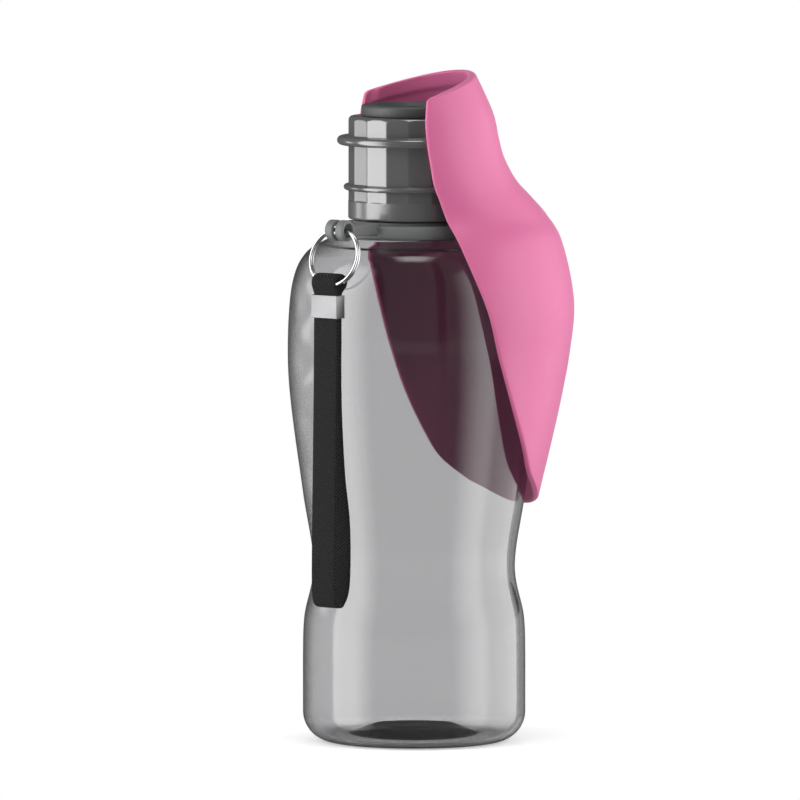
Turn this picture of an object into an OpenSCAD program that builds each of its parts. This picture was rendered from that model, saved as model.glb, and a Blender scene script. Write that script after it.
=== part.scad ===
// Dog travel water bottle: a squeezable bottle with a silicone leaf that flips up to drink from.
// Millimetres, +Z up. The origin is the middle of the base, on the surface that the bottle stands
// on. The leaf hangs on the +X side and the carrying loop on the other.

/* [Bottle] */
// Outside diameter of the drum above the base
base_d = 74; // [70:0.5:76]
// Outside diameter at the waist
waist_d = 67; // [62:0.5:70]
// Outside diameter at the belly, under the shoulder
belly_d = 84; // [80:0.5:86]
// Height of the shoulder's flat top
shoulder_z = 168; // [166:0.5:174]
// Radius of the corner round the base
base_corner = 10; // [7:0.5:12]
// Thickness of the blown wall
bottle_wall = 1.6; // [1.2:0.1:2.2]
// Outside diameter of the neck
neck_d = 34.4; // [32:0.2:35]
// Height of the neck above the shoulder
neck_h = 36.5; // [34:0.5:37]
// Diameter of the push-up under the base
pushup_d = 42; // [30:1:46]
// Height of the push-up under the base
pushup_h = 4; // [2:0.5:6]

/* [Finger grips] */
// Number of finger grips
grips = 5; // [3:1:5]
// Spacing of the finger grips
grip_pitch = 19; // [17:0.5:20]
// Height of the lowest finger grip
grip_z = 70; // [68:1:72]
// Depth of a finger grip
grip_depth = 1.8; // [1:0.1:2.4]
// Radius across a finger grip
grip_r = 9; // [8:0.5:12]

/* [Cap] */
// Wall of the grip sleeve, from the core to the corners of its flats
sleeve_wall = 2.6; // [2:0.1:3.2]
// Number of flats round the grip sleeve
flats = 18; // [14:1:24]
// Height of the grip sleeve
sleeve_h = 34; // [33:0.5:36]
// Height of the round band under the flats
band_h = 6; // [4:0.5:8]
// Width of the upper flange beyond the sleeve
flange_reach = 3.7; // [3.1:0.1:4.1]
// Thickness of the upper flange
flange_t = 3; // [2:0.2:3.6]
// Depth of the upper flange's underside below the top of the sleeve
flange_drop = 8; // [7:0.2:8.6]
// Width of the lower ridge beyond the sleeve
ridge_reach = 1.5; // [1.1:0.1:2.1]
// Thickness of the lower ridge
ridge_t = 2; // [1.4:0.2:2.6]
// Height of the lower ridge above the bottom of the sleeve
ridge_rise = 10.5; // [9:0.5:11]
// Wall of the threaded core
core_wall = 1.8; // [1.4:0.1:2]
// Thickness of the core's top plate
plate_t = 2.6; // [2.2:0.1:3.4]

/* [Valve] */
// Diameter of the valve knob
knob_d = 35.2; // [33:0.2:36]
// Height of the valve knob
knob_h = 3.6; // [3:0.2:5]
// Diameter of the knob's stem
stem_d = 8; // [7:0.2:9]
// Diameter of a water port
port_d = 6; // [4:0.2:7]
// Distance of the ports from the middle
port_r = 10; // [9.6:0.2:10.6]
// Thickness of the valve seal
seal_t = 1.2; // [0.8:0.1:1.6]

/* [Leaf] */
// Wall of the silicone leaf
leaf_wall = 1.8; // [1.4:0.1:2.2]
// Height of the leaf's tip above the base
leaf_tip_z = 78; // [70:1:86]
// Height of the leaf's rim at the back of the cap
leaf_top_z = 223; // [221:0.5:226]
// How far the leaf's back stands off the bottle's belly
leaf_bulge = 12; // [9:0.5:16]
// Diameter of the pivot pins
pin_d = 3.6; // [3:0.1:4]

/* [Carrying loop] */
// Height of the lug collar
collar_h = 5.6; // [4.6:0.2:5.8]
// Outside diameter of the lug collar
collar_d = 49; // [46:0.5:50]
// Distance of the lug's hole from the bottle's middle
lug_reach = 39; // [37.5:0.5:41]
// Diameter of one ear of the lug
ear_d = 7; // [6.6:0.1:7.6]
// Thickness of one ear of the lug
ear_t = 3.2; // [2.6:0.1:3.4]
// Gap between the lug's ears
ear_gap = 1.2; // [0.8:0.1:1.6]
// Outside diameter of the split ring
ring_d = 20; // [19:0.5:22]
// Wire thickness of the split ring
wire_d = 1; // [0.8:0.1:1.1]
// Width of the webbing
webbing_w = 10; // [8:0.5:12]
// Thickness of the webbing
webbing_t = 1.1; // [0.9:0.1:1.3]
// Length that the webbing hangs below the split ring
strap_l = 106; // [90:1:115]
// Height of the metal crimp
crimp_h = 7.6; // [7:0.2:9]

/* [Hidden] */
$fn = 96;

slip = 0.3;             // gap between pieces that move past each other
run = 0.05;             // radial gap of a pin in its bush
eps = 0.01;

// Radii and heights that follow from the sizes above.
base_r = base_d / 2;
waist_r = waist_d / 2;
belly_r = belly_d / 2;
neck_r = neck_d / 2;
core_r = neck_r + slip + core_wall;
sleeve_r = core_r + sleeve_wall;
flange_r = sleeve_r + flange_reach;
ridge_r = sleeve_r + ridge_reach;
neck_top = shoulder_z + neck_h;
collar_z = shoulder_z + slip;
sleeve_z = collar_z + collar_h + slip;
sleeve_top = sleeve_z + sleeve_h;
flange_z = sleeve_top - flange_drop;
ridge_z = sleeve_z + ridge_rise;
bush_d = pin_d + 3.2;
pivot_z = flange_z - flange_t / 2 - bush_d / 2 - slip;

// A point of a Catmull-Rom curve between b and c.
function curve_at(a, b, c, d, t) =
    0.5 * (2 * b + (c - a) * t + (2 * a - 5 * b + 4 * c - d) * t * t
    + (3 * b - a - 3 * c + d) * t * t * t);

// The points of a smooth curve through the stations, with the given number of steps between two.
function smooth(stations, steps) =
    let (last = len(stations) - 1)
    [for (i = [0 : last - 1], k = [0 : steps - 1])
        curve_at(stations[max(i - 1, 0)], stations[i], stations[i + 1],
                 stations[min(i + 2, last)], k / steps),
     stations[last]];

function arc(centre, radius, from, to, steps) =
    [for (k = [0 : steps]) let (a = from + (to - from) * k / steps)
        centre + radius * [cos(a), sin(a)]];

// ---- bottle -------------------------------------------------------------------------------

belly_z = 0.785 * shoulder_z;
waist_z = 0.35 * shoulder_z;
drum_top = waist_z - 30;
shoulder_r = neck_r + 10;

// The side of the bottle, from the top of the straight drum to the shoulder's flat top.
side = smooth([
    [base_r, drum_top],
    [base_r - 0.5, waist_z - 17],
    [waist_r, waist_z],
    [(waist_r + belly_r) / 2 - 0.8, waist_z + 24],
    [belly_r - 1, belly_z - 19],
    [belly_r, belly_z],
    [belly_r - 1.4, shoulder_z - 16],
    [belly_r - 6, shoulder_z - 5.4],
    [shoulder_r, shoulder_z]
], 5);

module bottle_outline(inset) {
    corner = base_corner - inset;
    polygon(concat(
        [[0, inset + pushup_h]],
        [[pushup_d / 2 - 8, inset + pushup_h], [pushup_d / 2, inset]],
        arc([base_r - base_corner, base_corner], corner, -90, 0, 9),
        [for (p = side) p - [inset, p[1] > shoulder_z - 2 ? inset : 0]],
        [[neck_r - inset, shoulder_z - inset]],
        [[neck_r - inset, neck_top + (inset > 0 ? eps : 0)], [0, neck_top + (inset > 0 ? eps : 0)]]
    ));
}

// The rings whose inner faces press the finger grips into the side away from the leaf.
module grip_cutters(extra) {
    sweep_r = 137;
    for (i = [0 : grips - 1]) {
        z = grip_z + i * grip_pitch;
        wall_r = lookup(z, [for (p = side) [p[1], p[0]]]);
        reach = wall_r - grip_depth + grip_r;
        translate([sweep_r - reach, 0, z])
            rotate_extrude() translate([sweep_r, 0]) circle(r = grip_r + extra);
    }
}

module bottle_body() {
    color([0.45, 0.45, 0.47, 0.5])
    difference() {
        rotate_extrude() bottle_outline(0);
        grip_cutters(0);
        difference() {
            rotate_extrude() bottle_outline(bottle_wall);
            grip_cutters(bottle_wall);
        }
    }
}

// ---- cap ----------------------------------------------------------------------------------

// The cap's core closes on the neck: its top plate lies on the washer, whatever the sleeve does.
liner_t = 0.9;
liner_gap = 0.1;
plate_z = neck_top + liner_gap + liner_t + liner_gap;
core_top = plate_z + plate_t;
through_h = core_top - neck_top + 1;

module ring(outer_r, inner_r, z, h) {
    translate([0, 0, z]) difference() {
        cylinder(r = outer_r, h = h);
        translate([0, 0, -1]) cylinder(r = inner_r, h = h + 2);
    }
}

// Copies of what follows at each of the three ports, turned by an angle.
module at_ports(turn) {
    for (i = [0 : 2]) rotate([0, 0, turn + 120 * i]) translate([port_r, 0, 0]) children();
}

module cap_liner() {
    color("white") ring(neck_r, neck_r - 3, neck_top + liner_gap, liner_t);
}

module cap_core() {
    seat_r = port_r + port_d / 2 + 1.4;
    color([0.4, 0.4, 0.42])
    difference() {
        translate([0, 0, sleeve_z]) cylinder(r = core_r, h = core_top - sleeve_z);
        translate([0, 0, sleeve_z - 1]) cylinder(r = neck_r + slip, h = plate_z - sleeve_z + 1);
        translate([0, 0, core_top - seal_t]) cylinder(r = seat_r, h = seal_t + 1);
        translate([0, 0, neck_top]) cylinder(d = stem_d + 2 * run, h = through_h);
        at_ports(0) translate([0, 0, neck_top]) cylinder(d = port_d, h = through_h);
    }
}

// A rounded bead round the sleeve, from inside its wall out to the given radius.
module bead(outer_r, thick, z) {
    inner_r = core_r + (sleeve_r - core_r) / 2;
    translate([0, 0, z]) rotate_extrude() {
        translate([inner_r, -thick / 2]) square([outer_r - thick / 2 - inner_r, thick]);
        translate([outer_r - thick / 2, 0]) circle(d = thick, $fn = 32);
    }
}

module grip_sleeve() {
    corners = [for (i = [0 : flats - 1]) let (a = 360 * i / flats)
        sleeve_r * [cos(a), sin(a)]];
    chamfer = 0.8;
    color([0.62, 0.62, 0.64])
    difference() {
        union() {
            translate([0, 0, sleeve_z]) cylinder(r = sleeve_r, h = band_h);
            intersection() {
                translate([0, 0, sleeve_z + 1]) linear_extrude(sleeve_h - 1) polygon(corners);
                translate([0, 0, sleeve_z]) rotate_extrude() polygon([
                    [0, 0], [sleeve_r + 1, 0], [sleeve_r + 1, sleeve_h - chamfer - 1],
                    [sleeve_r - chamfer, sleeve_h], [0, sleeve_h]
                ]);
            }
            bead(flange_r, flange_t, flange_z);
            bead(ridge_r, ridge_t, ridge_z);
        }
        translate([0, 0, sleeve_z - 1]) cylinder(r = core_r, h = sleeve_h + 2);
        pins(core_r, sleeve_r + 1);
    }
}

// ---- valve --------------------------------------------------------------------------------

knob_z = core_top + slip;
clip_t = 0.8;
stem_end = neck_top - 2.4;
clip_z = stem_end + 0.8;

module valve_seal() {
    seal_r = port_r + port_d / 2 + 1.4;
    color([0.2, 0.2, 0.2])
    difference() {
        translate([0, 0, core_top - seal_t]) cylinder(r = seal_r, h = seal_t);
        translate([0, 0, neck_top]) cylinder(d = stem_d + 2 * slip, h = through_h);
        at_ports(0) translate([0, 0, neck_top]) cylinder(d = port_d - 0.6, h = through_h);
    }
}

module valve_knob() {
    knob_r = knob_d / 2;
    lip = 1.2;
    dish = 1.4;
    color([0.3, 0.3, 0.32])
    difference() {
        rotate_extrude() difference() {
            union() {
                translate([0, knob_z]) square([knob_r - lip, knob_h]);
                translate([0, knob_z]) square([knob_r, knob_h - lip]);
                translate([knob_r - lip, knob_z + knob_h - lip]) circle(r = lip, $fn = 32);
                translate([0, stem_end]) square([stem_d / 2, knob_z - stem_end + 1]);
            }
            translate([0, knob_z + knob_h - dish])
                polygon([[0, 0], [knob_r - 4.5, 0], [knob_r - 3, dish + eps], [0, dish + eps]]);
            translate([stem_d / 2 - 0.7, clip_z]) square([2, clip_t]);
            translate([stem_d / 2 - 0.7, oring_z - 0.65]) square([2, 1.3]);
        }
        at_ports(60) translate([0, 0, knob_z - 1]) cylinder(d = port_d, h = knob_h + 2);
    }
}

oring_z = core_top - seal_t - (plate_t - seal_t) / 2;

module stem_oring() {
    oring_r = 0.36;
    color([0.15, 0.15, 0.15])
    translate([0, 0, oring_z]) rotate_extrude()
        translate([stem_d / 2 - 0.7 + oring_r, 0]) circle(r = oring_r, $fn = 24);
}

module stem_clip() {
    color("silver")
    difference() {
        ring(stem_d / 2 + 1.6, stem_d / 2 - 0.7, clip_z, clip_t);
        translate([0, -stem_d / 4, clip_z - 1]) cube([stem_d, stem_d / 2, clip_t + 2]);
    }
}

// ---- leaf ---------------------------------------------------------------------------------

// Two cylinders on the leaf's axis of turning, from one distance to another on each side.
module pins(from, to, d = pin_d) {
    for (side_y = [-1, 1])
        translate([0, side_y * from, pivot_z]) rotate([-90 * side_y, 0, 0])
            cylinder(d = d, h = to - from);
}

// Radius of the leaf's lobes beside the cap, which clears the flange as the leaf swings.
lobe_r = flange_r + slip + 0.1 + leaf_wall;
pin_end = lobe_r - leaf_wall - 0.5;

module pivot_pins() {
    color("silver") pins(core_r, pin_end);
}

module pivot_bushes() {
    color([0.85, 0.4, 0.6])
    difference() {
        pins(sleeve_r + slip, lobe_r - leaf_wall / 2, bush_d);
        pins(sleeve_r - 1, pin_end + 0.2, pin_d + 2 * run);
    }
}

// Each station of the leaf: height at its edges, height at its back, distance of its back from the
// middle, distance of its edges from the middle, and the angle from the leaf's direction to an edge.
leaf_belly_z = shoulder_z - 21;
leaf_back = belly_r + leaf_bulge;
leaf_stations = [
    [leaf_tip_z + 6, leaf_tip_z, waist_r + 7.3, waist_r + 8.4, 41],
    [leaf_tip_z + 12.5, leaf_tip_z + 8.5, waist_r + 9.1, waist_r + 9.7, 52],
    [leaf_tip_z + 21, leaf_tip_z + 18.8, belly_r + 3.1, belly_r + 3, 60],
    [leaf_tip_z + 35, leaf_tip_z + 34.5, belly_r + 7, belly_r + 4, 69],
    [leaf_belly_z - 17, leaf_belly_z - 17, leaf_back - 1.4, belly_r + 3.6, 76.5],
    [leaf_belly_z, leaf_belly_z, leaf_back, belly_r + 2.8, 82.5],
    [shoulder_z - 2, shoulder_z - 2, leaf_back - 3.8, belly_r - 4, 90.5],
    [shoulder_z + 7, shoulder_z + 7, leaf_back - 8.8, lobe_r + 2.2, 94],
    [sleeve_z + 7, sleeve_z + 7, leaf_back - 14.4, lobe_r + 0.3, 97.5],
    [ridge_z + 2, ridge_z + 2, lobe_r + 6.6, lobe_r, 101.5],
    [pivot_z - 1, pivot_z - 1, lobe_r + 2.4, lobe_r, 104],
    [flange_z, flange_z + 0.4, lobe_r + 0.4, lobe_r, 106],
    [sleeve_top - 0.5, sleeve_top + 1.5, lobe_r - 1.8, lobe_r - 0.4, 107],
    [leaf_top_z - 7.2, leaf_top_z, lobe_r - 8, lobe_r - 1.8, 105]
];
leaf_rows = smooth(leaf_stations, 3);
leaf_cols = 24;

// A point of the leaf: s runs from -1 to 1 across a row, and inset is the depth below its outside.
function leaf_point(row, s, inset) =
    let (
        back_x = row[2],
        edge_x = row[3] * cos(row[4]),
        edge_y = row[3] * sin(row[4]),
        centre_x = (back_x * back_x - row[3] * row[3]) / (2 * (back_x - edge_x)),
        spread = atan2(edge_y, edge_x - centre_x),
        radius = back_x - centre_x - inset
    )
    [centre_x + radius * cos(s * spread), radius * sin(s * spread),
     row[1] + (row[0] - row[1]) * (1 - cos(s * 90))];

module leaf() {
    rows = len(leaf_rows);
    width = leaf_cols + 1;
    skin = rows * width;
    points = [for (inset = [0, leaf_wall], row = leaf_rows, j = [0 : leaf_cols])
        leaf_point(row, 2 * j / leaf_cols - 1, inset)];
    outside = [for (i = [0 : rows - 2], j = [0 : leaf_cols - 1]) let (a = i * width + j)
        each [[a, a + 1, a + width + 1], [a, a + width + 1, a + width]]];
    inside = [for (f = outside) [f[2] + skin, f[1] + skin, f[0] + skin]];
    ends = [for (j = [0 : leaf_cols - 1]) let (b = (rows - 1) * width + j)
        each [[j + 1, j, j + skin], [j + 1, j + skin, j + 1 + skin],
              [b, b + 1, b + 1 + skin], [b, b + 1 + skin, b + skin]]];
    edges = [for (i = [0 : rows - 2]) let (a = i * width, b = a + leaf_cols)
        each [[a, a + width, a + width + skin], [a, a + width + skin, a + skin],
              [b + width, b, b + skin], [b + width, b + skin, b + width + skin]]];
    color([0.93, 0.45, 0.66]) polyhedron(points, [for (f = concat(outside, inside, ends, edges))
        [f[2], f[1], f[0]]]);
}

// ---- carrying loop ------------------------------------------------------------------------

lug_angle = 206;        // direction of the lug, from the leaf's
lug_z = collar_z + collar_h / 2 + 1;
lug_hole_r = 2.2;
lug_w = 2 * ear_t + ear_gap;
boss_r = core_r + 1.2;
boss_h = 1.1;

// Turns what follows from the plane through the lug, where X is outwards, into place.
module at_lug() {
    rotate([0, 0, lug_angle]) children();
}

module lug_collar() {
    color([0.35, 0.35, 0.37])
    difference() {
        union() {
            ring(collar_d / 2, neck_r + slip, collar_z, collar_h - boss_h);
            ring(boss_r, neck_r + slip, collar_z, collar_h);
            at_lug() difference() {
                union() {
                    translate([collar_d / 2 - 2, -lug_w / 2, lug_z - 2.2])
                        cube([lug_reach - collar_d / 2 + 2, lug_w, 3.8]);
                    translate([lug_reach, lug_w / 2, lug_z]) rotate([90, 0, 0])
                        cylinder(d = ear_d, h = lug_w);
                }
                translate([lug_reach - ear_d / 2 - 0.6, -ear_gap / 2, lug_z - ear_d])
                    cube([ear_d + 2, ear_gap, 2 * ear_d]);
            }
        }
        at_lug() translate([lug_reach, lug_w, lug_z]) rotate([90, 0, 0])
            cylinder(r = lug_hole_r, h = 2 * lug_w);
        translate([0, 0, collar_z - 1]) cylinder(r = neck_r + slip, h = collar_h + 2);
    }
}

// The split ring hangs from the lug's hole and leans out over the shoulder.
wire_r = wire_d / 2;
coil_r = ring_d / 2 - wire_r;
ring_lean = 16.6;
ring_top = [lug_reach, lug_z + 0.4];
ring_down = [sin(ring_lean), -cos(ring_lean)];
ring_centre = ring_top + coil_r * ring_down;
ring_foot = ring_top + 2 * coil_r * ring_down;

module split_ring() {
    steps = 40;
    sides = 8;
    turns = 1.9;
    count = round(steps * turns);
    points = [for (i = [0 : count]) let (
        a = 360 * turns * i / count + 30,
        lift = (i / count - 0.5) * wire_d * 1.04 * turns
    ) for (j = [0 : sides - 1]) let (b = 360 * j / sides, r = coil_r + wire_r * cos(b))
        [r * cos(a), r * sin(a), lift + wire_r * sin(b)]];
    walls = [for (i = [0 : count - 1], j = [0 : sides - 1]) let (
        a = i * sides + j, b = i * sides + (j + 1) % sides
    ) [a, b, b + sides, a + sides]];
    caps = [[for (j = [sides - 1 : -1 : 0]) j], [for (j = [0 : sides - 1]) count * sides + j]];
    color("silver") at_lug()
        translate([ring_centre[0], 0, ring_centre[1]]) rotate([0, 90 - ring_lean, 0])
            polyhedron(points, [for (f = concat(walls, caps)) [for (k = [len(f) - 1 : -1 : 0]) f[k]]]);
}

// The webbing's loop in the plane through the lug, outwards and up from the split ring's foot:
// over the wire, together in the crimp, and apart again round the hand loop.
arch = 3.4;
crimp_top = -3.2;
loop_gap = 6.8;
strap_middle = smooth([
    [0.8, arch], [2.6, arch - 1.1], [2.9, arch - 3.4], [1.7, crimp_top], [1.7, crimp_top - crimp_h],
    [2, -strap_l * 0.35], [2.6, -strap_l * 0.65], [3, -strap_l * 0.9], [2.6, -strap_l + 2.4],
    [1, -strap_l], [-1.6, -strap_l + 0.6], [-loop_gap + 2.5, -strap_l * 0.93],
    [-loop_gap + 2.4, -strap_l * 0.75], [-1.7, -strap_l * 0.58], [0, -strap_l * 0.35],
    [0, crimp_top - crimp_h], [0, crimp_top], [-2.7, arch - 3.4], [-2.6, arch - 1.1], [-0.8, arch]
], 4);

module strap_webbing() {
    color([0.08, 0.08, 0.08]) at_lug()
    translate([ring_foot[0], webbing_w / 2, ring_foot[1]]) rotate([90, 0, 0])
        linear_extrude(webbing_w) strap_band();
}

module strap_band() {
    count = len(strap_middle);
    normal = [for (i = [0 : count - 1]) let (
        d = strap_middle[(i + 1) % count] - strap_middle[(i + count - 1) % count]
    ) [-d[1], d[0]] / norm(d)];
    polygon(
        [for (side_u = [1, -1], i = [0 : count - 1]) strap_middle[i] + side_u * normal[i] * webbing_t / 2],
        [[for (i = [0 : count - 1]) i], [for (i = [0 : count - 1]) count + i]]
    );
}

module strap_crimp() {
    metal = 0.5;
    low = -0.75;
    high = 2.45;
    color("silver") at_lug()
    translate([ring_foot[0], 0, ring_foot[1] + crimp_top - crimp_h])
    difference() {
        translate([low - metal, -webbing_w / 2 - metal, 0])
            cube([high - low + 2 * metal, webbing_w + 2 * metal, crimp_h]);
        translate([low, -webbing_w / 2, -1]) cube([high - low, webbing_w, crimp_h + 2]);
    }
}

bottle_body();
cap_liner();
cap_core();
grip_sleeve();
pivot_pins();
leaf();
pivot_bushes();
valve_seal();
valve_knob();
stem_oring();
stem_clip();
lug_collar();
split_ring();
strap_webbing();
strap_crimp();
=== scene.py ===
# %% [markdown]
# A travel bottle for dogs: a squeezable bottle of smoke-grey plastic, a screw cap with a twist
# valve, and a pink silicone leaf that folds out into a drinking trough. The mechanical solids come
# from the frame. This notebook gives each visible piece its finished surface and its material.

# %% Frame, modules and units
import math

import bmesh
import bpy
import numpy as np
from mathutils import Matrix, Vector


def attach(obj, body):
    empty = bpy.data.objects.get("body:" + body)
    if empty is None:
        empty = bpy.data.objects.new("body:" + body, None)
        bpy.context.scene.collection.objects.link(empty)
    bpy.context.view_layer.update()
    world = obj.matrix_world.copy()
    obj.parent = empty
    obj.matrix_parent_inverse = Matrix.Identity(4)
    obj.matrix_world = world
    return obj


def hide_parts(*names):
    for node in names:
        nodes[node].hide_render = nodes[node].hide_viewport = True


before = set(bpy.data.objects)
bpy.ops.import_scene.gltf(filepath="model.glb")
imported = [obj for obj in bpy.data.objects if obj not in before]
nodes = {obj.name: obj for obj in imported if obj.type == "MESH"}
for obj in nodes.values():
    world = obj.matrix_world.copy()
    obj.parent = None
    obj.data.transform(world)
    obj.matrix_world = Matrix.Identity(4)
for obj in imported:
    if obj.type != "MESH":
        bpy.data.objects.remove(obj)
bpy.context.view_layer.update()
mm = 0.001

# %% [markdown]
# The camera comes first, because every surface is judged through it. It stands far away with a
# long lens, so that the upright sides stay nearly parallel, and it is raised by only a few
# degrees. The leaf points to the picture's right and a little away from the camera.

# %% Camera
view_turn = math.radians(-115)
view_rise = math.radians(4.5)
camera_distance = 5.0
picture_right = np.array([-math.sin(view_turn), math.cos(view_turn), 0.0])
aim = -4.7 * mm * picture_right + np.array([0, 0, 113.6 * mm])
away = np.array([
    math.cos(view_rise) * math.cos(view_turn),
    math.cos(view_rise) * math.sin(view_turn),
    math.sin(view_rise),
])
camera_data = bpy.data.cameras.new("camera")
camera_data.sensor_width = 36
camera_data.lens = 677.2
camera_data.clip_end = 20
camera = bpy.data.objects.new("camera", camera_data)
camera.location = aim + camera_distance * away
camera.rotation_euler = Vector(-away).to_track_quat("-Z", "Y").to_euler()
bpy.context.scene.collection.objects.link(camera)
bpy.context.scene.camera = camera
bpy.context.scene.view_settings.view_transform = "Standard"
print("camera at", [round(v, 3) for v in camera.location])

# %% [markdown]
# Colours are written as the hex values that a paint chart gives. Blender's sockets take linear
# light, so one function converts them. A second small function adds any shader node: a setting
# goes on the node itself, and an input is either a number or a link from another socket.

# %% Colour and node helpers


def linear(code):
    """An sRGB hex colour as linear RGBA: each channel is ((c + 0.055) / 1.055) to the power 2.4."""
    parts = np.array([int(code[i : i + 2], 16) / 255 for i in (1, 3, 5)])
    parts = np.where(parts <= 0.04045, parts / 12.92, ((parts + 0.055) / 1.055) ** 2.4)
    return (*parts.tolist(), 1.0)


def add(tree, kind, settings=None, inputs=None):
    """Add one node, set its properties, and fill or link its inputs."""
    made = tree.nodes.new(kind)
    for key, value in (settings or {}).items():
        setattr(made, key, value)
    for key, value in (inputs or {}).items():
        if isinstance(value, bpy.types.NodeSocket):
            tree.links.new(value, made.inputs[key])
        else:
            made.inputs[key].default_value = value
    return made


def new_finish(name):
    """An empty material: its node tree and its principled shader, already on the output."""
    made = bpy.data.materials.new(name)
    made.use_nodes = True
    tree = made.node_tree
    tree.nodes.clear()
    shader = add(tree, "ShaderNodeBsdfPrincipled")
    add(tree, "ShaderNodeOutputMaterial", inputs={"Surface": shader.outputs[0]})
    return made, tree, shader


def noise(tree, vector, scale, detail):
    """The height of a noise texture, with scale features to a metre."""
    return add(tree, "ShaderNodeTexNoise", inputs={
        "Vector": vector, "Scale": scale, "Detail": detail,
    }).outputs["Fac"]


def two_tones(tree, shader, factor, dark, pale):
    """The base colour runs from dark to pale with the factor."""
    tone = add(tree, "ShaderNodeMix", {"data_type": "RGBA"}, {
        "Factor": factor, 6: linear(dark), 7: linear(pale),
    })
    tree.links.new(tone.outputs[2], shader.inputs["Base Color"])


def ramp_of(tree, factor, stops, interpolation="LINEAR"):
    """A colour that follows a table of (place from 0 to 1, linear RGBA) as the factor grows."""
    ramp = add(tree, "ShaderNodeValToRGB", inputs={0: factor})
    ramp.color_ramp.interpolation = interpolation
    elements = ramp.color_ramp.elements
    while len(elements) < len(stops):
        elements.new(0.5)
    for element, (at, colour) in zip(elements, stops):
        element.position = at
        element.color = colour
    return ramp.outputs[0]


def bumped(tree, shader, height, strength, depth):
    """The normal is tilted by the slope of a height, which is depth metres from 0 to 1."""
    bump = add(tree, "ShaderNodeBump", inputs={
        "Height": height, "Strength": strength, "Distance": depth,
    })
    tree.links.new(bump.outputs[0], shader.inputs["Normal"])


def fill(shader, values):
    """Set the shader's own sockets, where a constant belongs."""
    for key, value in values.items():
        shader.inputs[key].default_value = value


# %% [markdown]
# The floor is a plain pale sheet. It has to look white and still carry the shadow of the bottle.
# Near the bottle it is a diffuse surface with a little glow that only camera and transmission
# rays see, and further out it turns into an even white. The world does the same: white to look
# at, and a gentle grey light on the object.

# %% Floor and world
floor_mesh = bpy.data.meshes.new("floor")
far_out = 6
floor_mesh.from_pydata(
    [(far_out * x, far_out * y, 0) for x, y in ((-1, -1), (1, -1), (1, 1), (-1, 1))],
    [], [(0, 1, 2, 3)],
)
floor = bpy.data.objects.new("floor", floor_mesh)
bpy.context.scene.collection.objects.link(floor)


def brightness(tree, seen, mirrored, lighting):
    """A strength for each kind of ray: seen by the camera or straight through clear walls,
    mirrored in a gloss, or only lighting a matt face. It is lighting + (mirrored - lighting) *
    glossy, and then the larger of that and seen * (camera or transmission). A ray that was
    reflected inside a wall before it left counts as mirrored, which keeps the walls' edges dark."""
    path = add(tree, "ShaderNodeLightPath")
    straight = add(tree, "ShaderNodeMath", {"operation": "LESS_THAN"}, {
        0: path.outputs["Glossy Depth"], 1: 0.5,
    })
    clear = add(tree, "ShaderNodeMath", {"operation": "MULTIPLY"}, {
        0: path.outputs["Is Transmission Ray"], 1: straight.outputs[0],
    })
    gloss = add(tree, "ShaderNodeMath", {"operation": "MULTIPLY_ADD"}, {
        0: path.outputs["Is Glossy Ray"], 1: mirrored - lighting, 2: lighting,
    })
    direct = add(tree, "ShaderNodeMath", {"operation": "MAXIMUM"}, {
        0: path.outputs["Is Camera Ray"], 1: clear.outputs[0],
    })
    scaled = add(tree, "ShaderNodeMath", {"operation": "MULTIPLY"}, {
        0: direct.outputs[0], 1: seen,
    })
    return add(tree, "ShaderNodeMath", {"operation": "MAXIMUM"}, {
        0: gloss.outputs[0], 1: scaled.outputs[0],
    }).outputs[0]


paper = bpy.data.materials.new("matt white paper sweep")
paper.use_nodes = True
tree = paper.node_tree
tree.nodes.clear()
sheet = add(tree, "ShaderNodeBsdfDiffuse", inputs={"Color": linear("#F4F4F4")})
place = add(tree, "ShaderNodeTexCoord")
distance = add(
    tree, "ShaderNodeVectorMath", {"operation": "LENGTH"}, {0: place.outputs["Object"]}
)
# Near the bottle the sheet is lit; from 45 mm to 75 mm out it turns into an even white glow.
far = add(tree, "ShaderNodeMapRange", {"interpolation_type": "SMOOTHSTEP"}, {
    "Value": distance.outputs["Value"], "From Min": 0.045, "From Max": 0.075,
})
# The glow is left out within 12 mm of the middle and fades in by 24 mm: painted shade on the floor
# under the base, which shows through it.
beside = add(tree, "ShaderNodeMapRange", {"interpolation_type": "SMOOTHSTEP"}, {
    "Value": distance.outputs["Value"], "From Min": 0.012, "From Max": 0.024,
})
near_glow = add(tree, "ShaderNodeMath", {"operation": "MULTIPLY"}, {
    0: brightness(tree, 0.22, 0.0, 0.0), 1: beside.outputs["Result"],
})
glow = add(tree, "ShaderNodeEmission", inputs={
    "Color": (1, 1, 1, 1), "Strength": near_glow.outputs[0],
})
both = add(tree, "ShaderNodeAddShader", inputs={0: sheet.outputs[0], 1: glow.outputs[0]})
white = add(tree, "ShaderNodeEmission", inputs={
    "Color": (1, 1, 1, 1), "Strength": brightness(tree, 1.0, 0.5, 0.8),
})
whole = add(tree, "ShaderNodeMixShader", inputs={
    0: far.outputs["Result"], 1: both.outputs[0], 2: white.outputs[0],
})
add(tree, "ShaderNodeOutputMaterial", inputs={"Surface": whole.outputs[0]})
floor_mesh.materials.append(paper)
# Glossy faces mirror the world's dimmer grey below them, and not the floor.
floor.visible_glossy = False

world = bpy.data.worlds.new("studio")
bpy.context.scene.world = world
world.use_nodes = True
tree = world.node_tree
tree.nodes.clear()
sky = add(tree, "ShaderNodeBackground", inputs={
    "Color": (1, 1, 1, 1), "Strength": brightness(tree, 1.0, 0.09, 0.35),
})
add(tree, "ShaderNodeOutputWorld", inputs={"Surface": sky.outputs[0]})

# %% [markdown]
# Product light is a few large soft boxes. The tall one at the left draws the bright strip on the
# bottle's side and lights two flats of the cap, a small dim one behind it edges the flange, the
# one at the right shapes the leaf's back, the one in front fills, and the one overhead opens the
# shadows and draws the short highlight on the shoulder.

# %% Soft boxes


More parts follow.
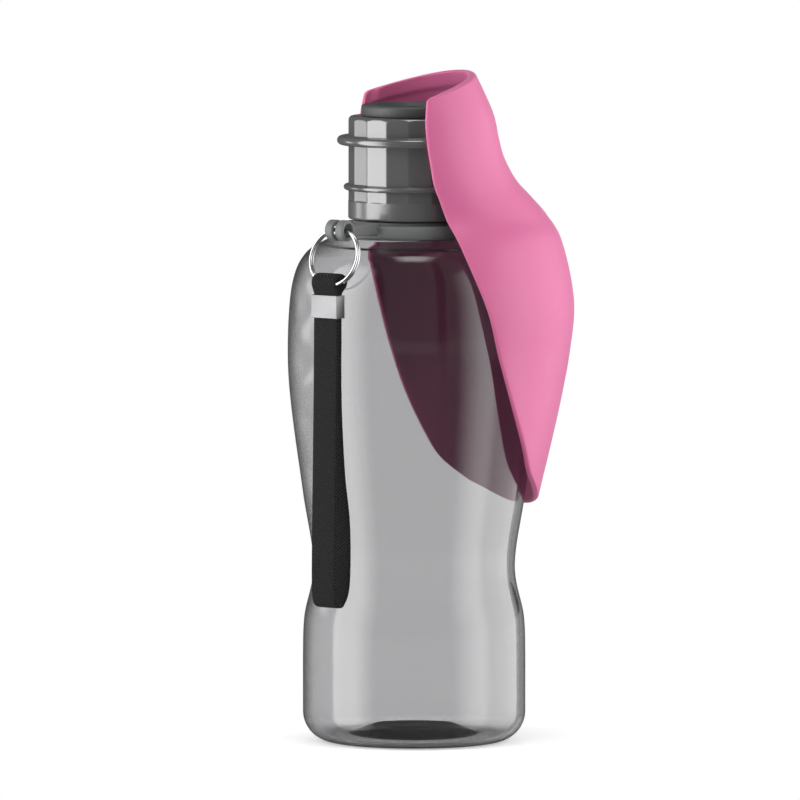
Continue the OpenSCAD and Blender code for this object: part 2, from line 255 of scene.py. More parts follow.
def soft_box(name, turn, rise, distance, size, power, mirrored=True, fade=None):
    """A rectangular lamp at an angle from the camera's direction, aimed at the bottle. With fade,
    its strength across the width follows a table of (place from 0 to 1, strength) by a ramp, as
    a grid of tubes behind a scrim gives, and up and down it fades by 1 - |2 v - 1|^3."""
    lamp = bpy.data.lights.new(name, "AREA")
    if fade:
        lamp.use_nodes = True
        tree = lamp.node_tree
        tree.nodes.clear()
        across = add(tree, "ShaderNodeNewGeometry")
        split = add(tree, "ShaderNodeSeparateXYZ", inputs={0: across.outputs["Parametric"]})
        table = [(at, (value, value, value, 1.0)) for at, value in fade]
        strength = ramp_of(tree, split.outputs[0], table, "EASE")
        offset = add(tree, "ShaderNodeMath", {"operation": "MULTIPLY_ADD"}, {
            0: split.outputs[1], 1: 2.0, 2: -1.0,
        })
        off_middle = add(tree, "ShaderNodeMath", {"operation": "ABSOLUTE"}, {
            0: offset.outputs[0],
        })
        steep = add(tree, "ShaderNodeMath", {"operation": "POWER"}, {
            0: off_middle.outputs[0], 1: 3.0,
        })
        ends = add(tree, "ShaderNodeMath", {"operation": "SUBTRACT"}, {
            0: 1.0, 1: steep.outputs[0],
        })
        shine = add(tree, "ShaderNodeEmission", inputs={
            "Color": strength, "Strength": ends.outputs[0],
        })
        add(tree, "ShaderNodeOutputLight", inputs={"Surface": shine.outputs[0]})
    lamp.shape = "RECTANGLE"
    lamp.size, lamp.size_y = size
    lamp.energy = power
    a = view_turn + math.radians(turn)
    e = math.radians(rise)
    place = np.array([math.cos(e) * math.cos(a), math.cos(e) * math.sin(a), math.sin(e)])
    made = bpy.data.objects.new(name, lamp)
    made.location = aim + distance * place
    made.rotation_euler = Vector(-place).to_track_quat("-Z", "Y").to_euler()
    made.visible_glossy = mirrored
    made.visible_transmission = False
    bpy.context.scene.collection.objects.link(made)


soft_box(
    "left box", -65, 3, 0.4, (0.42, 1.0), 6.2,
    fade=[(0.0, 0.0), (0.1, 1.0), (0.5, 1.0), (1.0, 0.0)],
)
soft_box(
    "back left box", -112, 7, 0.4, (0.18, 0.16), 0.24,
    fade=[(0.0, 0.0), (0.4, 1.0), (0.6, 1.0), (1.0, 0.0)],
)
soft_box(
    "right box", 84, 3, 0.46, (0.98, 1.0), 12.4,
    fade=[(0.0, 0.0), (0.4, 1.0), (0.52, 0.55), (1.0, 0.46)],
)
soft_box("front box", 10, 55, 1.5, (1.4, 1.0), 3.5, mirrored=False)
soft_box(
    "top box", 0, 84, 1.2, (0.6, 0.6), 6, fade=[(0.0, 0.0), (0.4, 1.0), (0.6, 1.0), (1.0, 0.0)],
)

# %% [markdown]
# Most pieces are grids: a table of points whose rows and columns are two parameters of a
# surface. One function turns such a table into a mesh. Where the columns run round a closed
# shape, the last joins the first, and doubled points at a pole are merged.

# %% Mesh helpers


def grid_faces(rows, cols, wrap_rows=False, wrap_cols=False):
    """Corner numbers of every cell of a grid, with its last row or column joined to the first."""
    i = np.arange(rows if wrap_rows else rows - 1)[:, None]
    j = np.arange(cols if wrap_cols else cols - 1)[None, :]
    i2, j2 = (i + 1) % rows, (j + 1) % cols
    return np.stack(
        [i * cols + j, i * cols + j2, i2 * cols + j2, i2 * cols + j], axis=-1
    ).reshape(-1, 4)


def build(name, points, faces, finish, body, stands_for, uv=None):
    """A mesh object at the origin, with merged doubles, outward faces and smooth shading."""
    mesh = bpy.data.meshes.new(name)
    mesh.from_pydata(np.asarray(points).reshape(-1, 3).tolist(), [], list(map(list, faces)))
    if uv is not None:
        layer = mesh.uv_layers.new(name="length_and_width")
        layer.uv.foreach_set("vector", np.asarray(uv, dtype=np.float32).ravel())
    work = bmesh.new()
    work.from_mesh(mesh)
    bmesh.ops.remove_doubles(work, verts=work.verts, dist=2e-6)
    bmesh.ops.dissolve_degenerate(work, edges=work.edges, dist=1e-7)
    bmesh.ops.recalc_face_normals(work, faces=work.faces)
    work.to_mesh(mesh)
    work.free()
    mesh.shade_smooth()
    mesh.materials.append(finish)
    made = bpy.data.objects.new(name, mesh)
    bpy.context.scene.collection.objects.link(made)
    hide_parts(*stands_for)
    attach(made, body)
    print(f"{name}: {len(mesh.polygons)} faces")
    return made


def softened(node, name, edge, finish, body):
    """A copy of a solid with merged points, edges rounded by a bevel, and smooth shading."""
    mesh = nodes[node].data.copy()
    mesh.name = name
    work = bmesh.new()
    work.from_mesh(mesh)
    bmesh.ops.remove_doubles(work, verts=work.verts, dist=2e-6)
    bmesh.ops.dissolve_limit(
        work, angle_limit=math.radians(0.6), verts=work.verts, edges=work.edges
    )
    work.to_mesh(mesh)
    work.free()
    mesh.materials.clear()
    mesh.materials.append(finish)
    made = bpy.data.objects.new(name, mesh)
    bpy.context.scene.collection.objects.link(made)
    mesh.shade_smooth()
    bevel = made.modifiers.new("rounded edges", "BEVEL")
    bevel.width = edge * mm
    bevel.segments = 3
    bevel.limit_method = "ANGLE"
    bevel.angle_limit = math.radians(32)
    bevel.harden_normals = True
    bevel.use_clamp_overlap = True
    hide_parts(node)
    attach(made, body)
    print(f"{name}: rounded by {edge} mm from {len(mesh.polygons)} faces")
    return made


def smooth(stations, steps):
    """A Catmull-Rom curve: between two stations the point is a cubic in t whose slope at each
    station is half the step between its neighbours. The end stations count twice."""
    p = np.asarray(stations, dtype=float)
    p = np.vstack([p[:1], p, p[-1:]])
    a, b, c, d = (p[k : len(p) - 3 + k, None, :] for k in range(4))
    t = (np.arange(steps) / steps)[None, :, None]
    curve = 0.5 * (
        2 * b + (c - a) * t + (2 * a - 5 * b + 4 * c - d) * t**2
        + (3 * b - a - 3 * c + d) * t**3
    )
    return np.vstack([curve.reshape(-1, p.shape[1]), p[-1:]])


def step_up(x, low, high):
    """0 below low, 1 above high, and the cubic 3t2 - 2t3 between."""
    t = np.clip((x - low) / (high - low), 0, 1)
    return t * t * (3 - 2 * t)


# %% [markdown]
# The bottle is clear, smoke-tinted copolyester, stretch-blown in a polished mould. A clear
# plastic is all refraction: the tint darkens whatever stands behind it, at each of the walls'
# four faces, and the surface's slant decides how much light is mirrored away instead. The tint
# is painted by the slant: paler with the slant, painted light that makes up for that, and dark
# only where a ray grazes the wall, painted shade that leaves a thin dark line along the
# bottle's outline, a little paler again right at it. A very shallow ripple in the normal gives
# the slightly uneven wall that blowing leaves.

# %% Smoke-tinted copolyester
smoke, tree, shader = new_finish("smoke-tinted blown copolyester")
fill(shader, {"IOR": 1.49, "Transmission Weight": 1.0})
tint = add(tree, "ShaderNodeVolumeAbsorption", inputs={
    "Color": linear("#000000"), "Density": 60.0,
})
slant = add(tree, "ShaderNodeLayerWeight", inputs={"Blend": 0.5})
slant_painted_tones = [
    # Painted light and shade: paler with the slant, darker where a ray grazes the wall, and a
    # little paler right at the outline.
    (0.0, "#DDDDDE"), (0.3, "#E1E1E2"), (0.5, "#ECECED"), (0.58, "#F9F9FA"), (0.74, "#F9F9FA"),
    (0.8, "#E4E4E5"), (0.92, "#A4A4A5"), (1.0, "#BCBCBD"),
]
tone = ramp_of(tree, slant.outputs["Facing"], [(at, linear(code)) for at, code in slant_painted_tones])
place = add(tree, "ShaderNodeTexCoord")
# The middle of the base is painted much darker: painted shade of the shadow seen under it. The
# side with the grips comes from a mould part with a fine texture, so its gloss is softer.
split = add(tree, "ShaderNodeSeparateXYZ", inputs={0: place.outputs["Object"]})
level = add(tree, "ShaderNodeCombineXYZ", inputs={0: split.outputs[0], 1: split.outputs[1]})
off_axis = add(tree, "ShaderNodeVectorMath", {"operation": "LENGTH"}, {0: level.outputs[0]})
heading = add(tree, "ShaderNodeVectorMath", {"operation": "NORMALIZE"}, {0: level.outputs[0]})
cosine = add(tree, "ShaderNodeSeparateXYZ", inputs={0: heading.outputs[0]})
texture = add(tree, "ShaderNodeMapRange", {"interpolation_type": "SMOOTHSTEP"}, {
    "Value": cosine.outputs[0], "From Min": -0.98, "From Max": -0.9,
    "To Min": 0.16, "To Max": 0.03,
})
tree.links.new(texture.outputs["Result"], shader.inputs["Roughness"])
low = add(tree, "ShaderNodeMapRange", {"interpolation_type": "SMOOTHSTEP"}, {
    "Value": split.outputs[2], "From Min": 0.0047, "From Max": 0.0042,
})
inner = add(tree, "ShaderNodeMapRange", {"interpolation_type": "SMOOTHSTEP"}, {
    "Value": off_axis.outputs["Value"], "From Min": 0.0225, "From Max": 0.0205,
})
# Painted shade: the middle of the base, below 4.2 to 4.7 mm and within 20.5 to 22.5 mm of the axis,
# turns near black.
thick = add(tree, "ShaderNodeMath", {"operation": "MULTIPLY"}, {
    0: low.outputs["Result"], 1: inner.outputs["Result"],
})
deep = add(tree, "ShaderNodeMix", {"data_type": "RGBA"}, {
    "Factor": thick.outputs[0], 6: tone, 7: linear("#131314"),
})
tree.links.new(deep.outputs[2], shader.inputs["Base Color"])
tree.links.new(tint.outputs[0], tree.nodes["Material Output"].inputs["Volume"])
bumped(tree, shader, noise(tree, place.outputs["Object"], 30.0, 0.0), 0.05, 0.0004)
# A clear wall dims a lamp's light and does not stop it: shadow rays pass with a light tint.
path = add(tree, "ShaderNodeLightPath")
passing = add(tree, "ShaderNodeBsdfTransparent", inputs={"Color": linear("#D6D6D7")})
lit_through = add(tree, "ShaderNodeMixShader", inputs={
    0: path.outputs["Is Shadow Ray"], 1: shader.outputs[0], 2: passing.outputs[0],
})
tree.links.new(lit_through.outputs[0], tree.nodes["Material Output"].inputs["Surface"])

# %% [markdown]
# The bottle's wall is one profile turned about the upright axis. The profile runs from the
# middle of the pushed-up base, out round the corner, up the drum, the waist and the belly, over
# the shoulder, up the neck, and then down again on the inside, a wall's thickness in. The finger
# grips are shallow dents pressed into one side of the turned shape.

# %% Bottle profile
drum_r, base_corner, wall, neck_r, neck_top = 37.0, 10.0, 1.6, 17.2, 204.5
neck_start, neck_rows = 168.6, 46
side = smooth([
    [37, 28.8], [36.5, 41.8], [33.5, 58.8], [36.95, 82.8], [41, 112.88], [42, 131.88],
    [40.6, 152], [36, 162.6], [27.2, 168],
], 18)
turn = np.radians(np.linspace(-90, 0, 13))
corner = np.array([drum_r - base_corner, base_corner]) + base_corner * np.stack(
    [np.cos(turn), np.sin(turn)], axis=1
)
drum = np.stack([np.full(8, drum_r), np.linspace(12, 27, 8)], axis=1)
neck_z = np.linspace(neck_start, neck_top - 0.4, neck_rows)
outside = np.vstack([
    [[0, 4], [6, 4], [12, 4], [13, 3.93], [14, 3.5], [17, 2], [20, 0.5], [20.7, 0.12], [21.5, 0],
     [24, 0]],
    corner, drum, side, [[22, 168], [18.2, 168], [17.4, 168.1]],
    np.stack([np.full(neck_rows, neck_r), neck_z], axis=1), [[neck_r - 0.15, neck_top - 0.1]],
    [[neck_r - 0.4, neck_top]],
])
slope = np.gradient(outside, axis=0)
slope /= np.linalg.norm(slope, axis=1, keepdims=True)
inward = np.stack([-slope[:, 1], slope[:, 0]], axis=1)
# Just under the neck the inward normals cross, so the inside leaves those rows out.
keep = (outside[:, 1] < 166) | (outside[:, 1] > 169)
inside = (outside + wall * inward)[keep]
inside[0, 0] = 0
inside[:, 0] = np.maximum(inside[:, 0], 0)
inside[inside[:, 1] > 168, 0] = neck_r - wall
inside[-1] = [neck_r - wall + 0.3, neck_top]
print("profile points:", len(outside), "outside,", len(inside), "inside")

# %% Bottle with its finger grips
grips, grip_z, grip_pitch, grip_depth = 5, 70, 19, 1.3
thread_lead, thread_start, thread_h, groove_depth = 6, 178, 0.68, 0.7


def pressed(r, z, angle):
    """The radius after the grips: each is a smooth dent, grip_depth * exp(-(dz / 5)^2) mm deep,
    and fades to both sides as exp(-(a / 0.21)^2), with a the angle from the side away from the
    leaf."""
    off = np.abs(np.mod(angle, 2 * np.pi) - np.pi)
    depth = sum(
        grip_depth * np.exp(-(((z - (grip_z + grip_pitch * k)) / 5.0) ** 2)) for k in range(grips)
    )
    return r[:, None] - depth[:, None] * np.exp(-((off / 0.21) ** 2))[None, :]


def thread(z, angle, r):
    """The neck's screw: a rounded ridge that climbs thread_lead mm a turn, with the cosine of the
    turn as its profile, in a shallow groove, and fades out at both ends."""
    phase = (z[:, None] - thread_start) / thread_lead - angle[None, :] / (2 * np.pi)
    ridge = np.clip(np.cos(2 * np.pi * phase) * 1.6 - 0.5, 0, 1)
    fade = step_up(z, 177, 180) * (1 - step_up(z, 197, 200))
    groove = groove_depth * step_up(z, 175, 176.5) * (1 - step_up(z, 201, 202))
    return r[:, None] - groove[:, None] + thread_h * ridge * fade[:, None]


columns = 176
angle = 2 * np.pi * np.arange(columns) / columns
out_r = pressed(outside[:, 0], outside[:, 1], angle)
in_neck = outside[:, 1] > 168.5
out_r[in_neck] = thread(outside[in_neck, 1], angle, outside[in_neck, 0])
in_r = pressed(inside[:, 0], inside[:, 1], angle)
radius = np.vstack([out_r, in_r[::-1]])
height = np.concatenate([outside[:, 1], inside[::-1, 1]])
points = np.stack([
    radius * np.cos(angle), radius * np.sin(angle), np.repeat(height[:, None], columns, axis=1),
], axis=-1) * mm
build(
    "bottle_wall", points, grid_faces(len(radius), columns, wrap_cols=True), smoke, "bottle",
    ("bottle_body",),
)

# %% [markdown]
# The leaf is pressed from liquid silicone: opaque, satin, and slightly waxy, because light goes
# a millimetre or two in before it comes out. Subsurface light gives that, a low sheen gives the
# dusty edge, and fine noise in the bump stands for the mould's blasted face.

# %% Pink silicone
silicone, tree, shader = new_finish("pink moulded silicone")
fill(shader, {
    "Roughness": 0.46, "IOR": 1.43, "Subsurface Weight": 0.35,
    "Subsurface Radius": (1.0, 0.35, 0.45), "Subsurface Scale": 0.0022,
    "Sheen Weight": 0.12, "Sheen Roughness": 0.4,
})
place = add(tree, "ShaderNodeTexCoord").outputs["Object"]
two_tones(tree, shader, noise(tree, place, 28.0, 2.0), "#BB5A87", "#C2648D")
bumped(tree, shader, noise(tree, place, 2600.0, 2.0), 0.05, 0.0002)

# %% [markdown]
# The leaf's outside is a stack of arcs. Each station gives an arc's height at its edges and at
# its back, how far its back and its edges are from the axis, and how far round it reaches. The
# arcs grow from the rounded tip, follow the bottle's waist and belly, and close round the cap.
# The skin's thickness swells from nothing at the outline like half a circle, so the whole rim is
# rounded, and a thicker lip runs inside the top edge.

# %% Leaf
stations = np.array([
    [84, 78, 40.8, 41.9, 41], [90.5, 86.5, 42.6, 43.2, 52], [99, 96.8, 45.1, 45, 60],
    [113, 112.5, 49, 46, 69], [130, 130, 52.6, 45.6, 76.5], [147, 147, 54, 44.8, 82.5],
    [166, 166, 50.2, 38, 90.5], [175, 175, 45.2, 30, 94], [181.2, 181.2, 39.6, 28.1, 97.5],
    [186.7, 186.7, 34.4, 27.8, 101.5], [194, 194, 30.2, 27.8, 104],
    [200.2, 200.6, 28.2, 27.8, 106], [207.7, 209.7, 26, 27.4, 107], [215.8, 223, 19.8, 26, 105],
])
curve = smooth(stations, 60)
length = np.concatenate([[0], np.cumsum(np.abs(np.diff(curve[:, 1])))])
# Rows lie closer where the rim rounds over and along the top, whose corners are round.
half, top_part = 0.9, 4
fine = half * (1 - np.cos(np.linspace(0, np.pi / 2, 8)))
middle = np.concatenate([
    np.linspace(half, length[-1] - top_part, 172)[1:],
    np.linspace(length[-1] - top_part, length[-1] - half, 12)[1:-1],
])
along = np.concatenate([fine, middle, length[-1] - fine[::-1]])
rows = np.stack([np.interp(along, length, curve[:, k]) for k in range(5)], axis=1)
z_edge, z_back, back, edge_r, edge_a = (rows[:, k][:, None] for k in range(5))
# Each arc is a circle through its back and its two edges, with its centre straight behind.
edge_x = edge_r * np.cos(np.radians(edge_a))
edge_y = edge_r * np.sin(np.radians(edge_a))
centre = (back**2 - edge_r**2) / (2 * (back - edge_x))
spread = np.arctan2(edge_y, edge_x - centre)
reach = back - centre
arc_half = reach * spread
# The corners of the top edge are rounded: near it each arc ends short, by a quarter circle.
corner_r = 3.2
to_top = np.clip(corner_r - (length[-1] - along), 0, corner_r)[:, None]
spread = spread * (1 - (corner_r - np.sqrt(corner_r**2 - to_top**2)) / arc_half)
# The corners of the tip turn evenly: the arcs end short there too, by the square of the way down.
turn_in, turn_length = 3.4, 14.0
to_tip = np.clip(1 - along / turn_length, 0, 1)[:, None]
spread = spread * (1 - turn_in * to_tip**2 / arc_half)
arc_half = reach * spread
rim = fine[None, :] / np.maximum(arc_half, 2 * half)
across = np.linspace(-1, 1, 75)[None, 1:-1] * (1 - rim[:, -1:])
s = np.hstack([rim - 1, across, (1 - rim)[:, ::-1]])
# Now s runs along each arc from -1 to 1, and depth is the way in from the nearest outline.
z = z_back + (z_edge - z_back) * (1 - np.cos(s * np.pi / 2))
near_side = (1 - np.abs(s)) * arc_half
near_end = np.minimum(along, length[-1] - along)[:, None]
depth = np.clip(np.minimum(near_side, near_end) / half, 0, 1)
swell = np.sqrt(np.clip(1 - (1 - depth) ** 2, 0, 1))
from_top = (length[-1] - along)[:, None] * (1 - 0.35 * s**2)
lip_t, lip_h = 1.1, 5.4
lip = lip_t * (1 - step_up(from_top, lip_h, 6.0)) * step_up(near_side, 1.5, 5)


def leaf_skin(inset):
    """Points of the arcs at a depth below the outside."""
    r = reach - inset
    return np.stack([centre + r * np.cos(s * spread), r * np.sin(s * spread), z], axis=-1)


outer = leaf_skin(half * (1 - swell))
inner = leaf_skin(half * (1 + swell) + lip * swell)
rows_n, cols_n = s.shape
faces = grid_faces(rows_n, cols_n)
points = np.vstack([outer.reshape(-1, 3), inner.reshape(-1, 3)]) * mm
build(
    "leaf_trough", points, np.vstack([faces, faces[:, ::-1] + rows_n * cols_n]), silicone, "leaf",
    ("leaf",),
)

# %% [markdown]
# The cap's sleeve is injection-moulded ABS from a highly polished mould, in a mid grey. Its
# flats mirror the soft boxes one by one, which is what shows that they are flat, so the
# roughness is low and a thin clear coat sharpens the reflections.

# %% Polished ABS
polished, tree, shader = new_finish("grey polished ABS")
fill(shader, {
    "IOR": 1.75, "Coat Weight": 0.7, "Coat Roughness": 0.1, "Coat IOR": 1.6,
})
place = add(tree, "ShaderNodeTexCoord")
# The plain band under the flats is handled most and is not quite as glossy.
rise = add(tree, "ShaderNodeSeparateXYZ", inputs={0: place.outputs["Object"]})
by_height = add(tree, "ShaderNodeMapRange", inputs={
    "Value": rise.outputs[2], "From Min": 0.1798, "From Max": 0.1802,
    "To Min": 0.34, "To Max": 0.2,
})
tree.links.new(by_height.outputs[0], shader.inputs["Roughness"])
flow = noise(tree, place.outputs["Object"], 60.0, 3.0)
two_tones(tree, shader, flow, "#4C4C4D", "#545455")
bumped(tree, shader, flow, 0.06, 0.0003)

# %% [markdown]
# The sleeve is a tube whose radius depends on both the height and the angle. Between the plain
# band and the top chamfer it is a prism of 18 flats, a rounded flange and a rounded ridge are
# added where they are larger, and the profile then returns down the bore.

# %% Grip sleeve
sleeve_r, sleeve_z, sleeve_top, bore = 21.9, 174.2, 208.2, 19.3
flange_z, flange_r, flange_t = 200.2, 25.6, 3
ridge_z, ridge_r, ridge_t = 184.7, 23.4, 2
flats, chamfer_z = 18, 207.2


def prism(angle):
    """Radius of a regular prism: the flat's distance over the cosine from the flat's middle."""
    part = 2 * np.pi / flats
    off = np.mod(angle, part) - part / 2
    return sleeve_r * np.cos(part / 2) / np.cos(off)


def bead(z, centre_z, outer_r, thick):
    """Radius of a half-round bead: its straight flank, then a half circle of its thickness."""
    up = np.clip(1 - ((z - centre_z) / (thick / 2)) ** 2, 0, 1)
    return np.where(up > 0, outer_r - thick / 2 + thick / 2 * np.sqrt(up), 0)


z = np.unique(np.concatenate([
    [sleeve_z, 174.35, 174.6, 175], np.linspace(175, 180, 6), [180.05, 180.2, 180.35, 180.5],
    np.linspace(181, 183.6, 5), ridge_z + np.sin(np.linspace(-1.57, 1.57, 15)),
    [183.65, 185.75], np.linspace(186, 198.6, 9),
    flange_z + 1.5 * np.sin(np.linspace(-1.57, 1.57, 19)), [198.65, 201.75],
    np.linspace(202, 207, 6), [207.3, 207.5, 207.8, 208.0],
]))
columns = flats * 20
angle = 2 * np.pi * (np.arange(columns) + 0.5) / columns
flat = prism(angle)[None, :]
share = step_up(z, 180.05, 180.45)[:, None]
r = sleeve_r * (1 - share) + flat * share
beads = np.maximum(bead(z, flange_z, flange_r, flange_t), bead(z, ridge_z, ridge_r, ridge_t))
r = np.maximum(r, beads[:, None])
chamfer = np.clip(z - chamfer_z, 0, None)[:, None] * 0.8
base_round = 0.3 * (1 - step_up(z, sleeve_z, 174.6))[:, None]
r = np.where(z[:, None] > chamfer_z, np.minimum(r, sleeve_r - chamfer), r) - base_round
tail_r = np.array([20.9, 20.0, bore + 0.2, bore, bore, bore, bore + 0.2, 21.2])
tail_z = np.array([208.18, sleeve_top, sleeve_top, 208.05, 190, 174.4, sleeve_z, sleeve_z])
r = np.vstack([r, np.repeat(tail_r[:, None], columns, axis=1), r[:1]])
z = np.concatenate([z, tail_z, z[:1]])
points = np.stack([
    r * np.cos(angle), r * np.sin(angle), np.repeat(z[:, None], columns, axis=1)
], axis=-1) * mm
build(
    "sleeve_with_flats", points, grid_faces(len(z), columns, wrap_cols=True), polished, "cap",
    ("grip_sleeve",),
)

# %% [markdown]
# The knob, the collar and the cap's core are moulded polypropylene, darker than the sleeve and
# from a lightly textured mould, so their highlights are wide and soft.

# %% Textured polypropylene


def polypropylene(name, dark, pale):
    """Moulded polypropylene: two close tones in a slow cloud, and a fine grain in the bump."""
    made, tree, shader = new_finish(name)
    fill(shader, {"Roughness": 0.5, "IOR": 1.49})
    place = add(tree, "ShaderNodeTexCoord").outputs["Object"]
    two_tones(tree, shader, noise(tree, place, 90.0, 3.0), dark, pale)
    bumped(tree, shader, noise(tree, place, 2200.0, 1.0), 0.08, 0.0002)
    return made


slate = polypropylene("dark grey moulded polypropylene", "#606261", "#696B6A")
knob_grey = polypropylene("darker grey moulded polypropylene", "#3E403F", "#454746")
core_grey = polypropylene("grey moulded polypropylene", "#616263", "#68696A")

# %% Knob and collar
softened("valve_knob", "turning_knob", 0.35, knob_grey, "knob")
softened("lug_collar", "collar_with_lug", 0.45, slate, "collar")

# %% [markdown]
# The split ring is spring steel wire, nickel-plated and bright, wound just under two turns. It
# is a tube carried along a shallow helix. The crimp is a strip of the same bright metal.

# %% Bright metals


def metal(name, colour, scale, smooth_end, rough_end):
    """A bare metal whose roughness wanders between two values, as handling marks do."""
    made, tree, shader = new_finish(name)
    fill(shader, {"Base Color": linear(colour), "Metallic": 1.0})
    place = add(tree, "ShaderNodeTexCoord").outputs["Object"]
    rough = add(tree, "ShaderNodeMapRange", inputs={
        "Value": noise(tree, place, scale, 3.0), "To Min": smooth_end, "To Max": rough_end,
    })
    tree.links.new(rough.outputs["Result"], shader.inputs["Roughness"])
    return made


nickel = metal("nickel-plated steel wire", "#DCDCDD", 400.0, 0.2, 0.26)
strip = metal("satin nickel-plated strip", "#828283", 900.0, 0.42, 0.52)

# %% Lug's frame of reference
lug_turn = math.radians(206)
outward = np.array([math.cos(lug_turn), math.sin(lug_turn), 0.0])
sideways = np.array([-math.sin(lug_turn), math.cos(lug_turn), 0.0])
upward = np.array([0.0, 0.0, 1.0])
lean = math.radians(16.6)
coil_r, wire_r = 9.5, 0.5
ring_top = np.array([39.0, 172.5])
ring_down = np.array([math.sin(lean), -math.cos(lean)])
ring_centre = ring_top + coil_r * ring_down
ring_foot = ring_top + 2 * coil_r * ring_down

# %% Split ring
turns, steps, sides, pitch = 1.9, 240, 14, 1.04
part = np.linspace(0, 1, steps)
a = 2 * np.pi * turns * part + math.radians(30)
lift = (part - 0.5) * pitch * turns
b = 2 * np.pi * np.arange(sides) / sides
r = coil_r + wire_r * np.cos(b)[None, :]
across = np.array([ring_down[1], -ring_down[0]])
level = lift[:, None] + wire_r * np.sin(b)[None, :]
along_down = -r * np.cos(a)[:, None]
along_side = r * np.sin(a)[:, None]
flat_u = ring_centre[0] + along_down * -ring_down[0] + level * -across[0]
flat_z = ring_centre[1] + along_down * -ring_down[1] + level * -across[1]
points = (
    flat_u[..., None] * outward + along_side[..., None] * sideways + flat_z[..., None] * upward
) * mm
caps = [list(range(sides))[::-1], [(steps - 1) * sides + k for k in range(sides)]]
build(
    "key_ring", points, grid_faces(steps, sides, wrap_cols=True).tolist() + caps, nickel, "ring",
    ("split_ring",),
)

# %% [markdown]
# The wrist loop is polyester webbing in a 2/2 twill, black, 10 mm wide. It is modelled as what
# it is: a band of that width, carried round the loop with its two selvedges rounded. Its UV map
# holds real lengths, along and across, so the twill's diagonal follows the band round each bend.

# %% Polyester twill webbing
webbing, tree, shader = new_finish("black polyester twill webbing")
fill(shader, {
    "Roughness": 0.8, "Specular IOR Level": 0.3, "Sheen Weight": 0.04, "Sheen Roughness": 0.4,
})
cloth = add(tree, "ShaderNodeUVMap", {"uv_map": "length_and_width"})
turned = add(
    tree, "ShaderNodeMapping",
    inputs={"Vector": cloth.outputs[0], "Rotation": (0, 0, math.radians(38))},
)
# One rib of the twill is 0.9 mm, about twice the real 0.5 mm, so that it shows.
ribs = add(
    tree, "ShaderNodeTexWave", {"wave_profile": "SIN"},
    {"Vector": turned.outputs[0], "Scale": 350.0, "Distortion": 0.6, "Detail": 1.0,
     "Detail Scale": 3.0},
)
height = add(tree, "ShaderNodeMath", {"operation": "MULTIPLY"}, {
    0: ribs.outputs["Fac"], 1: noise(tree, cloth.outputs[0], 2500.0, 3.0),
})
# Rib crests and fine specks turn paler: the twill's pattern, with painted glints of light on its
# fibres.
weave_and_glints = add(tree, "ShaderNodeMapRange", inputs={
    "Value": height.outputs[0], "From Min": 0.12, "From Max": 0.5,
})
two_tones(tree, shader, weave_and_glints.outputs["Result"], "#020202", "#1B1B1C")
bumped(tree, shader, height.outputs[0], 0.7, 0.0005)

# %% Wrist loop
hang, arch, crimp_top, crimp_h, gap = 106.0, 3.4, -3.2, 7.6, 6.8
web_w, web_t = 10.0, 1.1
path = smooth([
    [0.8, arch], [2.6, arch - 1.1], [2.9, arch - 3.4], [1.7, crimp_top],
    [1.7, crimp_top - crimp_h], [2, -hang * 0.35], [2.6, -hang * 0.65], [3, -hang * 0.9],
    [2.6, -hang + 2.4], [1, -hang], [-1.6, -hang + 0.6], [-gap + 2.5, -hang * 0.93],
    [-gap + 2.4, -hang * 0.75], [-1.7, -hang * 0.58], [0, -hang * 0.35],
    [0, crimp_top - crimp_h], [0, crimp_top], [-2.7, arch - 3.4], [-2.6, arch - 1.1],
    [-0.8, arch],
], 16)
tangent = np.roll(path, -1, axis=0) - np.roll(path, 1, axis=0)
tangent /= np.linalg.norm(tangent, axis=1, keepdims=True)
normal = np.stack([-tangent[:, 1], tangent[:, 0]], axis=1)
section = 40
b = 2 * np.pi * np.arange(section) / section
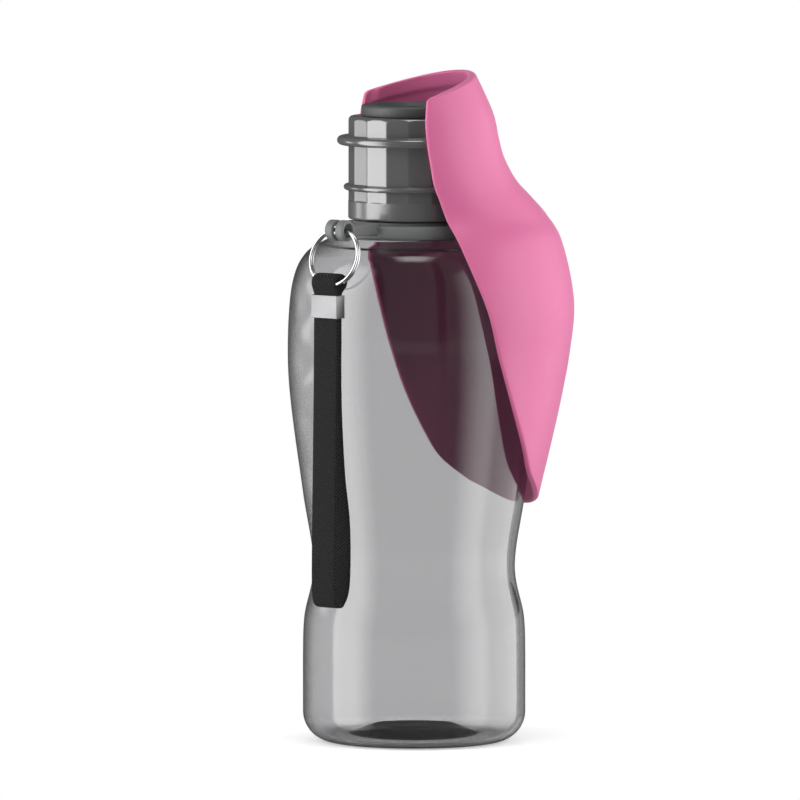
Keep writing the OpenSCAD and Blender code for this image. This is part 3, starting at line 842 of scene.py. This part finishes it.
# The band's section is a superellipse: flat faces with well rounded selvedges.
wide = (web_w / 2) * np.sign(np.cos(b)) * np.abs(np.cos(b)) ** 0.28
thick = (web_t / 2) * np.sign(np.sin(b)) * np.abs(np.sin(b)) ** 0.5
flat_uz = path[:, None, :] + normal[:, None, :] * thick[None, :, None]
flat_uz = flat_uz + ring_foot
points = (
    flat_uz[..., 0:1] * outward + wide[None, :, None] * sideways + flat_uz[..., 1:2] * upward
) * mm
step = np.linalg.norm(np.diff(np.vstack([path, path[:1]]), axis=0), axis=1)
run = np.concatenate([[0], np.cumsum(step)]) * mm
faces = grid_faces(len(path), section, wrap_rows=True, wrap_cols=True)
row, col = faces // section, faces % section
# The last cells end on row 0, whose run is then the whole length, not 0.
row = np.where((row == 0) & (row[:, :1] > 5), len(path), row)
uv = np.stack([run[row], wide[col] * mm], axis=-1)
strap = build(
    "wrist_loop", points, faces, webbing, "strap", ("strap_webbing",), uv=uv
)
# The loop and its crimp hang close beside the bottle, and its gloss doesn't mirror them.
strap.visible_glossy = False
print("loop length", round(float(run[-1]) * 1000), "mm")

# %% Crimp
crimp = softened("strap_crimp", "strap_clamp", 0.18, strip, "strap")
crimp.visible_glossy = False

# %% [markdown]
# The inner pieces show only when the cap is open or the part is taken apart, but each still gets
# its own finish: a white silicone washer, black nitrile seals, stainless pins and clip, and
# acetal bushes that are moulded into the leaf.

# %% Finishes of the inner pieces


def rubber(name, dark, pale, rough):
    """Pressed rubber: a cloud of two close tones and a fine matt grain."""
    made, tree, shader = new_finish(name)
    fill(shader, {"Roughness": rough, "IOR": 1.45})
    cloud = noise(tree, add(tree, "ShaderNodeTexCoord").outputs["Object"], 400.0, 3.0)
    two_tones(tree, shader, cloud, dark, pale)
    bumped(tree, shader, cloud, 0.1, 0.0002)
    return made


washer = rubber("white silicone washer", "#E4E3DE", "#EDECE8", 0.5)
nitrile = rubber("black nitrile rubber", "#151515", "#202020", 0.6)
acetal = rubber("rose acetal", "#DE6FA2", "#E57BAB", 0.3)
stainless = metal("turned stainless steel", "#C9C8C4", 900.0, 0.22, 0.38)

inner_finish = {
    "cap_liner": washer, "cap_core": core_grey, "valve_seal": nitrile, "stem_oring": nitrile,
    "stem_clip": stainless, "pivot_pins": stainless, "pivot_bushes": acetal,
}
for name, finish in inner_finish.items():
    node = nodes[name]
    for k in range(len(node.material_slots)):
        node.material_slots[k].material = finish
    if not node.material_slots:
        node.data.materials.append(finish)
print("inner pieces finished:", ", ".join(inner_finish))
